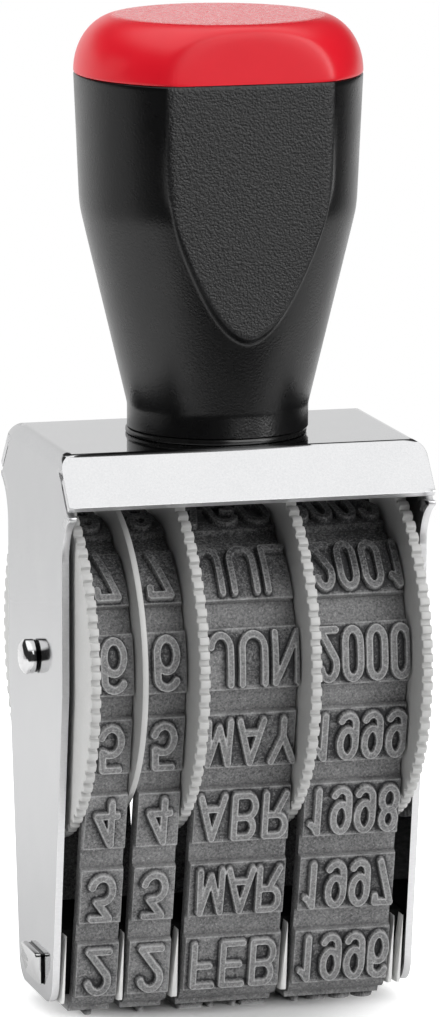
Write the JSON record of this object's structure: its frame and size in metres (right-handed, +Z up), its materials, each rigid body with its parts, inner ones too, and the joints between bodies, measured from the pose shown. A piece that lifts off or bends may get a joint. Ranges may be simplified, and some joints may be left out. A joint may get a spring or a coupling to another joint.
{
  "type": "date stamp",
  "caption": "Hand date stamp: plastic handle on a bent steel frame, with knurled thumb wheels that carry rubber bands of raised type over a bridge.",
  "frame": {"origin": "middle of the printing face that the stamp rests on, under the axle's middle", "axes": "+Z up along the handle, +X along the axle to the right of the front, +Y to the back"},
  "size_m": [0.0346, 0.0312, 0.0857],
  "materials": {
    "frame_steel": "nickel plate, bright",
    "handle_black": "satin with a fine leather grain",
    "cap_red": "satin gloss",
    "collar_black": "satin",
    "fastener_steel": "zinc plate",
    "axle_steel": "bright turned steel",
    "wheel_plastic": "moulded light grey plastic",
    "band_rubber": "matte grey rubber",
    "bar_steel": "bright nickel plate",
    "shoe_plastic": "moulded white plastic"
  },
  "bodies": {
    "stand": {"frame": "frame_steel", "handle_body": "handle_black", "handle_cap": "cap_red", "handle_collar": "collar_black", "handle_screw": "fastener_steel", "screw_washer": "fastener_steel", "nut_washer": "fastener_steel", "handle_nut": "fastener_steel", "axle": "axle_steel", "tens_band": "band_rubber", "units_band": "band_rubber", "month_band": "band_rubber", "year_band": "band_rubber", "bridge_bar": "bar_steel", "bridge_shoe": "shoe_plastic"},
    "tens_dial": {"tens_wheel": "wheel_plastic"},
    "units_dial": {"units_wheel": "wheel_plastic"},
    "month_dial": {"month_wheel": "wheel_plastic"},
    "year_dial": {"year_wheel": "wheel_plastic"},
    "spacer": {"spacer_disc": "wheel_plastic"}
  },
  "joints": [
    {"name": "tens_dial_turn", "type": "hinge", "parent": "stand", "child": "tens_dial", "pos_m": [0, 0, 0.0311], "axis": [1, 0, 0], "continuous": true},
    {"name": "units_dial_turn", "type": "hinge", "parent": "stand", "child": "units_dial", "pos_m": [0, 0, 0.0311], "axis": [1, 0, 0], "continuous": true},
    {"name": "month_dial_turn", "type": "hinge", "parent": "stand", "child": "month_dial", "pos_m": [0, 0, 0.0311], "axis": [1, 0, 0], "continuous": true},
    {"name": "year_dial_turn", "type": "hinge", "parent": "stand", "child": "year_dial", "pos_m": [0, 0, 0.0311], "axis": [1, 0, 0], "continuous": true},
    {"name": "spacer_turn", "type": "hinge", "parent": "stand", "child": "spacer", "pos_m": [0, 0, 0.0311], "axis": [1, 0, 0], "continuous": true}
  ]
}
